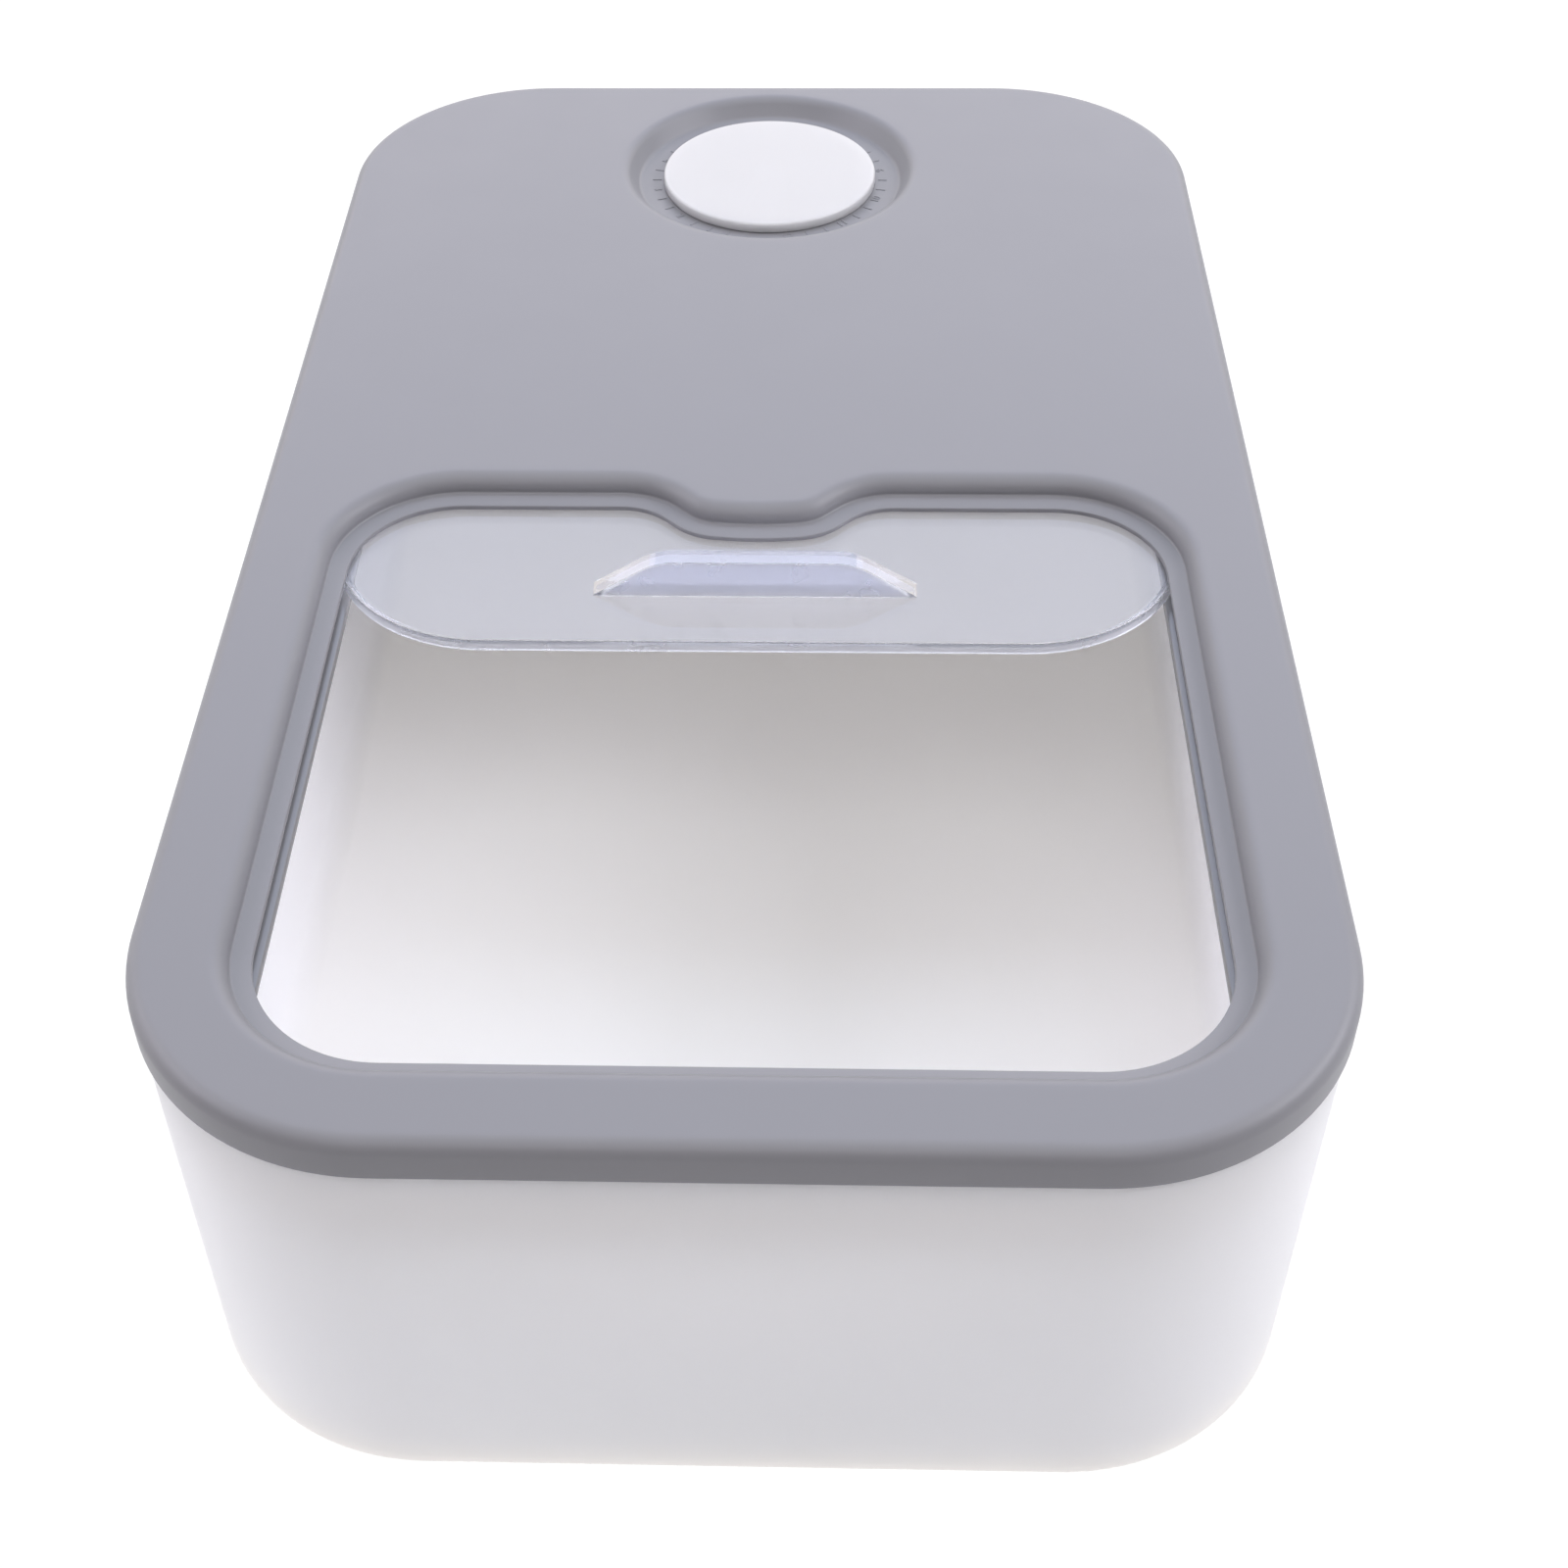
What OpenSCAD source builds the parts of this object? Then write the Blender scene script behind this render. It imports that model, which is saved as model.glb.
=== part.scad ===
// Rice bin: a white tub, a grey press-on lid with a dished mouth, a clear
// window panel that slides back under the lid, and a date dial at the rear.
// Millimetres. +Z is up, +Y points to the back, and the origin is at the
// middle of the foot. The window is drawn open.

/* [Bin] */
// Height from the table to the flat top of the lid
bin_h = 100; // [70:1:220]
// Outside width of the lid
lid_w = 220; // [190:1:300]
// Outside length of the lid
lid_l = 375; // [330:1:460]
// Corner radius of the lid, seen from above
lid_corner_r = 49; // [42:0.5:56]

/* [Tub] */
// Thickness of the tub wall at the foot
wall_t = 2.4; // [1.8:0.1:3]
// Thickness of the tub floor
floor_t = 2.6; // [1.8:0.1:4]
// How much further in each side stands at the foot than at the shoulder
draft_inset = 1.2; // [0.5:0.1:4]
// Step from the face of the lid to the face of the tub
shoulder_step = 0.8; // [0.3:0.1:1.4]
// Radius along the bottom edge
foot_r = 1.2; // [1:0.1:5]
// Width of the foot ring that touches the table
foot_ring_w = 5; // [3:0.5:9]
// Depth of the hollow inside the foot ring
foot_recess = 0.8; // [0.4:0.1:2]
// Radius inside the tub between wall and floor
floor_fillet_r = 6; // [2:0.5:9]
// Thickness of the neck that stands up inside the lid
neck_t = 1.5; // [1.2:0.1:1.8]

/* [Lid] */
// Thickness of the lid skin
lid_skin = 2.2; // [1.8:0.1:2.6]
// Radius along the top edge of the lid
lid_edge_r = 3; // [1:0.1:3.6]
// Height of the lid from its top to the lower edge of the skirt
skirt_h = 8.7; // [7.5:0.1:14]
// Thickness of the skirt
skirt_t = 1.8; // [1.4:0.1:2.2]
// Gap between the lid and the tub, sideways and below the skirt
lid_gap = 0.3; // [0.2:0.05:0.5]
// Radius along the lower edge of the skirt
skirt_edge_r = 0.5; // [0.2:0.1:0.7]

/* [Seal] */
// Height of the silicone seal between the lid and the neck
seal_h = 2.1; // [1.2:0.1:3]
// Thickness of the rib that holds the seal
seal_rib_t = 1.2; // [0.8:0.1:1.5]
// Gap between the neck and the rib that holds the seal
seal_rib_gap = 0.6; // [0.4:0.1:1]

/* [Mouth] */
// Distance from each side of the lid to the side rim
mouth_side = 22; // [19.5:0.5:34]
// Distance from the front of the lid to the front rim
mouth_setback = 22; // [19.5:0.5:34]
// Corner radius of the rim at the front
mouth_front_r = 26; // [18:0.5:32]
// Corner radius of the rim at the back
mouth_rear_r = 23; // [16:0.5:30]
// Depth of the ledge below the top of the lid
mouth_depth = 4; // [3.8:0.1:6]
// Width of the flat ledge around the rim
ledge_w = 3.9; // [2.5:0.1:5]
// Radius over which the top of the lid rolls down to the ledge
mouth_roll_r = 3.5; // [2.6:0.1:3.6]
// Thickness of the rim
rim_t = 1.9; // [1.4:0.1:2.4]
// Radius of the lip along the rim
rim_edge_r = 0.8; // [0.3:0.1:0.8]

/* [Notch] */
// How far the middle of the rear rim swings forward
notch_depth = 11.3; // [9:0.1:16]
// Radius of the four bends of the swing
notch_bend_r = 14; // [12:0.5:16]
// Radius of its nearly straight middle
notch_crown_r = 70; // [50:1:90]
// Half the angle that the middle spans
notch_crown_angle = 8; // [5:0.5:9]
// Slope of its flanks
notch_flank_angle = 45; // [38:1:50]

/* [Window] */
// Height of the edge of the panel
panel_t = 3; // [2.4:0.1:4]
// Thickness of the panel inside its edge
sheet_t = 2; // [1.2:0.1:2.2]
// Width of the lip around the underside of the panel
panel_lip_w = 1.6; // [1.2:0.1:2.5]
// How far each side of the panel reaches under the rim
panel_side_lap = 4; // [3:0.1:4.5]
// How far the closed panel reaches under the front rim
panel_front_lap = 4.5; // [3:0.1:6]
// How far the closed panel reaches under the rear rim
panel_rear_lap = 13; // [11:0.5:20]
// Radius of the front corners of the panel
panel_front_r = 35; // [25:0.5:36]
// Radius of the rear corners of the panel
panel_rear_r = 6; // [2:0.5:10]
// Length of the open panel that shows in front of the rear rim
panel_show = 45; // [38:0.5:60]
// Gap above, below and behind the panel
panel_gap = 0.3; // [0.2:0.05:0.5]
// Gap at each side of the panel
panel_side_gap = 0.4; // [0.3:0.05:0.6]

/* [Finger bar] */
// Length of the finger bar along its foot
bar_l = 69; // [56:0.5:90]
// Length of the flat along its top
bar_top_l = 32; // [24:0.5:36]
// Thickness of the bar, front to back
bar_t = 4.7; // [3:0.1:8]
// Height of the bar above the panel
bar_h = 8.7; // [7:0.1:12]
// Radius of the shoulders at the ends of the flat
bar_shoulder_r = 17; // [8:0.5:20]
// Slope of the ramps down to the tips
bar_ramp_angle = 30; // [26:0.5:32]
// Height of the blunt tips
bar_tip_h = 0.4; // [0.3:0.1:0.8]
// Distance from the front of the panel to the front of the bar
bar_setback = 15.2; // [10:0.1:20]
// Thickness of the skin of the bar, which is hollow and open below
bar_wall_t = 1; // [0.8:0.1:1.2]

/* [Guide rails] */
// How far the rails stand inside the side rims
rail_reveal = 0.9; // [0.4:0.1:1.5]
// Height of the inner face of a rail
rail_face_h = 2.2; // [2.2:0.1:5]
// Thickness of the rail plate and its lips
rail_t = 1.8; // [1.4:0.1:2.2]
// Gap between a rail and the rib that holds the seal
rail_edge_gap = 0.6; // [0.4:0.1:1]
// Length of the stop block at the rear end of a rail
rail_stop_l = 2.7; // [2:0.1:4]
// Distance from each side of the panel to the rib that keeps it down
hold_rib_in = 22; // [10:0.5:40]
// Distance of the first screw behind the bend of the lid's front corner
screw_front_in = 3; // [0:0.5:20]
// Distance of the last screw in front of the rear end of the open panel
screw_rear_in = 10; // [6:0.5:20]

/* [Screws] */
// Screws in each rail
rail_screw_count = 4; // [3:1:5]
// Radius of a rail screw
screw_r = 1.4; // [1.2:0.05:1.5]
// Radius of a rail screw head
screw_head_r = 2.8; // [2.4:0.1:3]
// Height of a screw head
screw_head_h = 1.7; // [1.2:0.1:2]
// Radius of the bosses that the rail screws bite into
boss_r = 3.2; // [2.8:0.1:3.2]
// Gap between a rail screw and its hole in the rail
screw_gap = 0.3; // [0.2:0.05:0.5]
// Gap left between a screw and the wall of its blind hole
pilot_gap = 0.05; // [0.02:0.01:0.08]

/* [Dial] */
// Diameter of the dial disc
dial_d = 56.4; // [46:0.2:66]
// Visible thickness of the dial disc
dial_t = 1.7; // [1.2:0.1:2.2]
// Radius along the top edge of the disc
dial_edge_r = 0.9; // [0.3:0.1:1]
// Gap between the disc and the floor of its well
dial_gap = 0.5; // [0.4:0.05:0.8]
// Width of the flat floor of the well around the disc
well_ring_w = 7.4; // [5:0.1:10]
// Depth of the well
well_depth = 4.2; // [4:0.1:4.3]
// Thickness of the floor of the well
well_floor_t = 1.6; // [1.2:0.1:1.8]
// Thickness of the wall of the well
well_wall_t = 2; // [1.4:0.1:2.4]
// Gap between the wall of the well and the rib that holds the seal
well_margin = 1.3; // [0.6:0.1:8]
// Radius over which the lid rolls down into the well
well_roll_r = 2.8; // [1.5:0.1:2.8]
// Radius between the wall and the floor of the well
well_fillet_r = 1.2; // [0.4:0.1:1.2]
// Numbers around the dial, which the marks leave room for
number_count = 12; // [6:1:12]
// Marks between one number and the next
ticks_between = 2; // [1:1:3]
// Distance from the marks to the edge of the floor of the well
tick_in = 3.4; // [0.6:0.1:3.8]
// Length of a mark
tick_l = 2.4; // [1.5:0.1:2.6]
// Width of a mark
tick_w = 0.5; // [0.3:0.1:0.8]
// Height of a mark above the floor of the well
tick_h = 0.15; // [0.1:0.05:0.3]

/* [Dial spindle] */
// Radius of the spindle under the disc
spindle_r = 4; // [3:0.1:4.5]
// Radial play of the spindle in its bearing
spindle_play = 0.05; // [0.02:0.01:0.1]
// Length of the bearing below the seal pocket
bearing_l = 5.2; // [4:0.1:7]
// Thickness of the bearing around the pocket of the spindle seal
bearing_t = 1.8; // [1.2:0.1:3]
// Distance from the open panel to the bearing
bearing_gap = 6; // [1:0.5:12]
// Radius of the cord of the spindle seal
o_ring_r = 0.9; // [0.7:0.05:1]
// Gap on each side of the spindle seal
o_ring_gap = 0.2; // [0.1:0.05:0.3]
// Height of the wave washer
wave_h = 0.7; // [0.5:0.05:0.8]
// Thickness of the flat washer
washer_t = 0.8; // [0.5:0.05:1.2]
// Gap above and below the wave washer
wave_gap = 0.15; // [0.1:0.01:0.2]
// How far the washers stay inside the edge of the bearing
washer_in = 0.5; // [0.2:0.1:1]
// Depth that the dial screw reaches into the spindle
dial_screw_l = 6; // [4:0.5:7]

/* [Hidden] */
$fn = 96;

tub_white = [0.93, 0.93, 0.94];
lid_grey = [0.42, 0.42, 0.45];
rail_grey = [0.38, 0.38, 0.40];
dial_white = [0.90, 0.90, 0.93];
clear_plastic = [0.85, 0.88, 0.93, 0.5];
silicone_white = [0.85, 0.85, 0.84];
steel = [0.70, 0.70, 0.72];

arc_step = 10;      // turn of one facet where an outline is drawn point by point
seam = 1;           // overlap where a swept border meets the flat sheet beside it

// Heights
lid_under_z = bin_h - lid_skin;
skirt_z = bin_h - skirt_h;
shoulder_z = skirt_z - lid_gap;
neck_z = lid_under_z - seal_h - lid_gap;
floor_z = foot_recess + floor_t;
ledge_z = bin_h - mouth_depth;
rim_z = ledge_z - rim_t;
well_z = bin_h - well_depth;
well_under_z = well_z - well_floor_t;
panel_roof_z = min(rim_z, well_under_z);
panel_top_z = panel_roof_z - panel_gap;
panel_z = panel_top_z - panel_t;
rail_z = panel_z - panel_gap;

// Steps inward from the lid's outside face to the tub and the seal
neck_in = skirt_t + lid_gap;
neck_inner_in = neck_in + neck_t;
seal_rib_in = neck_inner_in + seal_rib_gap;
lid_room_in = seal_rib_in + seal_rib_t;
foot_in = shoulder_step + draft_inset;

// Dial, its spindle, and its bearing below the well
spindle_pocket_r = spindle_r + 2 * (o_ring_r + o_ring_gap);
bearing_r = spindle_pocket_r + bearing_t;
disc_z = well_z + dial_gap;
pocket_z = well_z - 2 * o_ring_r + o_ring_gap;
bearing_z = pocket_z - bearing_l;
washer_z = bearing_z - wave_h - 2 * wave_gap;
washer_r = bearing_r - washer_in;
well_floor_r = dial_d / 2 + well_ring_w;
well_wall_x = well_floor_r + well_fillet_r;
well_top_x = well_wall_x + well_roll_r;

// Plan. The panel slides between the front rim and the bearing of the dial,
// which leaves the mouth about half of that length.
half_w = lid_w / 2;
half_l = lid_l / 2;
dial_y = half_l - lid_room_in - well_margin - well_wall_x - well_wall_t;
mouth_w = lid_w - 2 * mouth_side;
mouth_front_y = mouth_setback - half_l;
panel_rear_y = dial_y - bearing_r - bearing_gap;
mouth_l = (panel_rear_y - mouth_front_y + panel_show - panel_front_lap - panel_rear_lap) / 2;
mouth_rear_y = mouth_front_y + mouth_l;
mouth_out = ledge_w + mouth_roll_r;
panel_half_w = mouth_w / 2 + panel_side_lap;
panel_front_y = mouth_rear_y - panel_show;
closed_front_y = mouth_front_y - panel_front_lap;
rail_in_x = mouth_w / 2 - rail_reveal;
guide_x = panel_half_w + panel_side_gap;
boss_x = (guide_x + rail_t + half_w - lid_room_in) / 2;
rail_rear_y = panel_rear_y + panel_gap + rail_stop_l;

// Rail screws, spread along the rail clear of its ends
screw_front_y = lid_corner_r - half_l + screw_front_in;
screw_rear_y = panel_rear_y - screw_rear_in;
screw_z = lid_under_z - screw_head_r / 2;
screw_ys = [
    for (i = [0 : rail_screw_count - 1])
        screw_front_y + i * (screw_rear_y - screw_front_y) / (rail_screw_count - 1)
];

// The mouth's outline is a list of [length, 0] for a straight and
// [radius, turn] for an arc, where a positive turn goes left. It is walked
// counter-clockwise from the front of its right side.

notch_turn = notch_flank_angle - notch_crown_angle;
notch_flank_l = (
    notch_depth
    - notch_bend_r * (1 - cos(notch_flank_angle))
    - notch_bend_r * (cos(notch_crown_angle) - cos(notch_flank_angle))
    - notch_crown_r * (1 - cos(notch_crown_angle))
) / sin(notch_flank_angle);
notch_half_w = notch_bend_r * (2 * sin(notch_flank_angle) - sin(notch_crown_angle))
    + notch_flank_l * cos(notch_flank_angle)
    + notch_crown_r * sin(notch_crown_angle);
rear_straight_l = mouth_w / 2 - mouth_rear_r - notch_half_w;
side_straight_l = mouth_l - mouth_front_r - mouth_rear_r;

mouth_path = [
    [side_straight_l, 0], [mouth_rear_r, 90],
    [rear_straight_l, 0], [notch_bend_r, notch_flank_angle],
    [notch_flank_l, 0], [notch_bend_r, -notch_turn],
    [notch_crown_r, -2 * notch_crown_angle],
    [notch_bend_r, -notch_turn], [notch_flank_l, 0],
    [notch_bend_r, notch_flank_angle], [rear_straight_l, 0],
    [mouth_rear_r, 90], [side_straight_l, 0],
    [mouth_front_r, 90], [mouth_w - 2 * mouth_front_r, 0], [mouth_front_r, 90]
];
mouth_start = [mouth_w / 2, mouth_front_y + mouth_front_r];

function right_of(heading) = [sin(heading), -cos(heading)];

// Points of an outline, moved out by `out`
function trace(path, out, p, heading = 90, i = 0) =
    i >= len(path) ? []
    : path[i][1] == 0 ?
        concat(
            [p + out * right_of(heading)],
            trace(path, out, p + path[i][0] * [cos(heading), sin(heading)], heading, i + 1)
        )
    : let (
        turn = path[i][1],
        r = sign(turn) * path[i][0],
        centre = p - r * right_of(heading),
        n = ceil(abs(turn) / arc_step)
    )
        concat(
            [for (k = [0 : n - 1]) centre + (r + out) * right_of(heading + turn * k / n)],
            trace(path, out, centre + r * right_of(heading + turn), heading + turn, i + 1)
        );

// Points of an arc
function arc(x, y, r, from, to, step = 15) =
    let (n = ceil(abs(to - from) / step))
        [for (k = [0 : n]) [x, y] + r * [cos(from + (to - from) * k / n), sin(from + (to - from) * k / n)]];

// Carries a section around the lid's outline: x is out of the outline and y is up
module sweep_lid() {
    straight_x = lid_w - 2 * lid_corner_r;
    straight_y = lid_l - 2 * lid_corner_r;
    for (turn = [0, 180]) rotate([0, 0, turn]) {
        translate([half_w, straight_y / 2, 0]) rotate([90, 0, 0]) linear_extrude(straight_y) children();
        translate([straight_x / 2, straight_y / 2, 0])
            rotate_extrude(angle = 90) translate([lid_corner_r, 0]) children();
        rotate([0, 0, 90]) translate([half_l, straight_x / 2, 0])
            rotate([90, 0, 0]) linear_extrude(straight_x) children();
        translate([-straight_x / 2, straight_y / 2, 0]) rotate([0, 0, 90])
            rotate_extrude(angle = 90) translate([lid_corner_r, 0]) children();
    }
}

// Closed ring whose section, given counter-clockwise, follows an outline
module ring_along(path, start, section) {
    loops = [for (point = section) trace(path, point.x, start)];
    n = len(loops[0]);
    m = len(section);
    polyhedron(
        points = [for (j = [0 : m - 1]) for (p = loops[j]) [p.x, p.y, section[j].y]],
        faces = [
            for (j = [0 : m - 1]) for (k = [0 : n - 1])
                let (
                    a = j * n + k, b = j * n + (k + 1) % n,
                    c = (j + 1) % m * n + (k + 1) % n, d = (j + 1) % m * n + k
                )
                    each [[a, c, b], [a, d, c]]
        ]
    );
}

// Rounded rectangle with one radius at the front and one at the back
module plate_2d(w, front_y, rear_y, front_r, rear_r) {
    translate([-w / 2, front_y + front_r]) square([w, rear_y - front_y - front_r - rear_r]);
    translate([front_r - w / 2, front_y]) square([w - 2 * front_r, front_r + 1]);
    translate([rear_r - w / 2, rear_y - rear_r - 1]) square([w - 2 * rear_r, rear_r + 1]);
    for (side = [-1, 1]) {
        translate([side * (w / 2 - front_r), front_y + front_r]) circle(front_r);
        translate([side * (w / 2 - rear_r), rear_y - rear_r]) circle(rear_r);
    }
}

// The lid's outline, moved in
module lid_2d(inset) {
    plate_2d(lid_w - 2 * inset, inset - half_l, half_l - inset, lid_corner_r - inset, lid_corner_r - inset);
}

// Section of the tub from its foot ring to its neck
module tub_section() {
    ring_in = foot_in + foot_r + foot_ring_w;
    inner_foot_in = foot_in + wall_t;
    polygon(concat(
        [[-ring_in - seam - floor_fillet_r, foot_recess], [-ring_in, foot_recess], [-ring_in, 0]],
        arc(-foot_in - foot_r, foot_r, foot_r, -90, 0),
        [
            [-shoulder_step, shoulder_z], [-neck_in, shoulder_z], [-neck_in, neck_z],
            [-neck_inner_in, neck_z], [-neck_inner_in, shoulder_z]
        ],
        arc(-inner_foot_in - floor_fillet_r, floor_z + floor_fillet_r, floor_fillet_r, 0, -90),
        [[-ring_in - seam - floor_fillet_r, floor_z]]
    ));
}

module tub() color(tub_white) {
    floor_inset = foot_in + foot_r + foot_ring_w + floor_fillet_r;
    sweep_lid() tub_section();
    translate([0, 0, foot_recess]) linear_extrude(floor_t) lid_2d(floor_inset);
}

// Section of the lid's edge: rolled top edge, skirt and the rib for the seal
module lid_edge_section() {
    in = lid_room_in + seam;
    polygon(concat(
        [[-in, bin_h]],
        arc(-lid_edge_r, bin_h - lid_edge_r, lid_edge_r, 90, 0),
        arc(-skirt_edge_r, skirt_z + skirt_edge_r, skirt_edge_r, 0, -90),
        [
            [-skirt_t, skirt_z], [-skirt_t, lid_under_z],
            [-seal_rib_in, lid_under_z], [-seal_rib_in, neck_z + lid_gap],
            [-lid_room_in, neck_z + lid_gap], [-lid_room_in, lid_under_z], [-in, lid_under_z]
        ]
    ));
}

// Border of the mouth: rolled wall, flat ledge and lip
module mouth_border() {
    roll_z = bin_h - mouth_roll_r;
    wall_x = ledge_w + rim_t;
    roll_step = 22.5;
    rim_edge_step = 45;
    section = concat(
        [[mouth_out + 2 * seam, bin_h]],
        arc(mouth_out, roll_z, mouth_roll_r, 90, 180, roll_step),
        [[ledge_w, ledge_z]],
        arc(rim_edge_r, ledge_z - rim_edge_r, rim_edge_r, 90, 180, rim_edge_step),
        [
            [0, rim_z], [wall_x, rim_z], [wall_x, roll_z],
            [mouth_out, lid_under_z], [mouth_out + 2 * seam, lid_under_z]
        ]
    );
    ring_along(mouth_path, mouth_start, section);
}

// Section of the dial's well, its floor and the bearing below
module well_section() {
    polygon(concat(
        [[0, well_z]],
        arc(well_floor_r, well_z + well_fillet_r, well_fillet_r, -90, 0),
        arc(well_top_x, bin_h - well_roll_r, well_roll_r, 180, 90),
        [
            [well_top_x + 2 * seam, bin_h], [well_top_x + 2 * seam, lid_under_z],
            [well_wall_x + well_wall_t, lid_under_z], [well_wall_x + well_wall_t, well_under_z],
            [bearing_r, well_under_z], [bearing_r, bearing_z], [0, bearing_z]
        ]
    ));
}

module lid_sheet() {
    translate([0, 0, lid_under_z]) linear_extrude(lid_skin) difference() {
        lid_2d(lid_room_in);
        polygon(trace(mouth_path, mouth_out + seam, mouth_start));
        translate([0, dial_y]) circle(well_top_x + seam);
    }
}

// Ribs below the lid that keep the panel down and stop it at the front
module lid_ribs() {
    hold_front_y = mouth_rear_y + mouth_out + rail_t;
    hold_rear_y = dial_y - well_top_x;
    stop_half_w = panel_half_w - panel_front_r - rail_t;
    for (side = [-1, 1])
        translate([side * (panel_half_w - hold_rib_in) - rail_t / 2, hold_front_y, panel_roof_z])
            cube([rail_t, hold_rear_y - hold_front_y, lid_under_z - panel_roof_z + seam]);
    translate([-stop_half_w, closed_front_y - panel_gap - rail_t, panel_z])
        cube([2 * stop_half_w, rail_t, rim_z - panel_z + seam]);
}

// Marks of the dial, clockwise from the one at its front. Every place after
// `ticks_between` marks belongs to a number and stays free.
module ticks() {
    root_h = 0.5;
    places = ticks_between + 1;
    front = -90;
    for (i = [0 : number_count * places - 1])
        if (i % places < ticks_between)
            translate([0, dial_y, well_z - root_h])
                rotate([0, 0, front - 360 * i / (number_count * places)])
                    translate([well_floor_r - tick_in - tick_l, -tick_w / 2, 0])
                        cube([tick_l, tick_w, root_h + tick_h]);
}

module lid_cover() color(lid_grey) difference() {
    union() {
        sweep_lid() lid_edge_section();
        mouth_border();
        lid_sheet();
        translate([0, dial_y, 0]) rotate_extrude() well_section();
        lid_ribs();
        ticks();
        for (side = [-1, 1], y = screw_ys)
            translate([side * boss_x, y, rail_z]) cylinder(r = boss_r, h = lid_under_z - rail_z + seam);
    }
    translate([0, dial_y, pocket_z]) cylinder(r = spindle_pocket_r, h = well_depth + 2 * o_ring_r);
    translate([0, dial_y, bearing_z - 1]) cylinder(r = spindle_r + spindle_play, h = bin_h - bearing_z);
    for (side = [-1, 1], y = screw_ys)
        translate([side * boss_x, y, rail_z - 1])
            cylinder(r = screw_r + pilot_gap, h = screw_z + pilot_gap - rail_z + 1);
}

module lid_seal() color(silicone_white) {
    side_gap = 0.1;
    sweep_lid()
        translate([side_gap - seal_rib_in, lid_under_z - seal_h])
            square([seal_rib_in - skirt_t - 2 * side_gap, seal_h]);
}

// The right rail: a plate with a face lip inside and a guide wall outside
module guide_rail() difference() {
    front_y = -half_l;
    intersection() {
        union() {
            translate([rail_in_x, front_y, rail_z - rail_t])
                cube([half_w - rail_in_x, rail_rear_y - front_y, rail_t]);
            translate([rail_in_x, front_y, rail_z - rail_face_h])
                cube([rail_t, rail_rear_y - front_y, rail_face_h]);
            translate([guide_x, front_y, rail_z])
                cube([rail_t, rail_rear_y - front_y, rim_z - rail_z]);
            translate([rail_in_x, rail_rear_y - rail_stop_l, rail_z])
                cube([guide_x - rail_in_x + rail_t, rail_stop_l, panel_top_z - rail_z]);
        }
        translate([0, 0, rail_z - rail_face_h]) linear_extrude(bin_h - rail_z)
            lid_2d(lid_room_in + rail_edge_gap);
    }
    for (y = screw_ys)
        translate([boss_x, y, rail_z - rail_t - 1]) cylinder(r = screw_r + screw_gap, h = rail_t + 2);
}

module guide_rail_left() color(rail_grey) mirror([1, 0, 0]) guide_rail();

module guide_rail_right() color(rail_grey) guide_rail();

// Pan-head screw with a cross recess, point up, with the seat of its head at z = 0
module pan_screw(r, head_r, length) difference() {
    slot_w = 0.7;
    union() {
        cylinder(r = r, h = length);
        translate([0, 0, -screw_head_h]) cylinder(r = head_r, h = screw_head_h);
    }
    for (turn = [0, 90])
        rotate([0, 0, turn]) translate([-head_r / 2, -slot_w / 2, -screw_head_h - 1])
            cube([head_r, slot_w, 1 + screw_head_h / 2]);
}

module rail_screws(side) color(steel)
    for (y = screw_ys)
        translate([side * boss_x, y, rail_z - rail_t])
            pan_screw(screw_r, screw_head_r, screw_z - rail_z + rail_t);

module rail_screws_left() rail_screws(-1);

module rail_screws_right() rail_screws(1);

// Side view of the finger bar: a flat top, round shoulders and straight ramps
function bar_outline(inset, foot) =
    let (
        tip_x = bar_l / 2 - inset / sin(bar_ramp_angle),
        shoulder_z = bar_h - bar_shoulder_r,
        shoulder = arc(bar_top_l / 2, shoulder_z, bar_shoulder_r - inset, 90, 90 - bar_ramp_angle),
        half = concat(shoulder, [[tip_x, bar_tip_h], [tip_x, foot]])
    )
    concat(half, [for (i = [len(half) - 1 : -1 : 0]) [-half[i].x, half[i].y]]);

// The finger bar as a block, or its hollow when there is an inset
module bar_block(inset, foot)
    translate([0, panel_front_y + bar_setback + bar_t - inset, panel_top_z]) rotate([90, 0, 0])
        linear_extrude(bar_t - 2 * inset) polygon(bar_outline(inset, foot));

// Sheet with a lip around its underside, open below the hollow of the finger bar
module window_panel() color(clear_plastic) difference() {
    translate([0, 0, panel_z]) linear_extrude(panel_t)
        plate_2d(2 * panel_half_w, panel_front_y, panel_rear_y, panel_front_r, panel_rear_r);
    translate([0, 0, panel_z - 1]) linear_extrude(panel_t - sheet_t + 1)
        plate_2d(
            2 * (panel_half_w - panel_lip_w), panel_front_y + panel_lip_w,
            panel_rear_y - panel_lip_w, panel_front_r - panel_lip_w,
            max(panel_rear_r - panel_lip_w, 0.4)
        );
    bar_block(bar_wall_t, -sheet_t - 1);
}

// Arched grip, a thin skin over a hollow
module finger_bar() color(clear_plastic) difference() {
    bar_block(0, 0);
    bar_block(bar_wall_t, -1);
}

module dial_disc() color(dial_white) translate([0, dial_y, 0]) difference() {
    rotate_extrude() polygon(concat(
        [[0, disc_z + dial_t]],
        arc(dial_d / 2 - dial_edge_r, disc_z + dial_t - dial_edge_r, dial_edge_r, 90, 0),
        [
            [dial_d / 2, disc_z], [spindle_r, disc_z],
            [spindle_r, washer_z], [0, washer_z]
        ]
    ));
    translate([0, 0, washer_z - 1])
        cylinder(r = screw_r + pilot_gap, h = dial_screw_l + pilot_gap + 1);
}

module dial_o_ring() color(silicone_white)
    translate([0, dial_y, pocket_z + o_ring_r])
        rotate_extrude() translate([spindle_r + o_ring_gap + o_ring_r, 0]) circle(o_ring_r);

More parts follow.
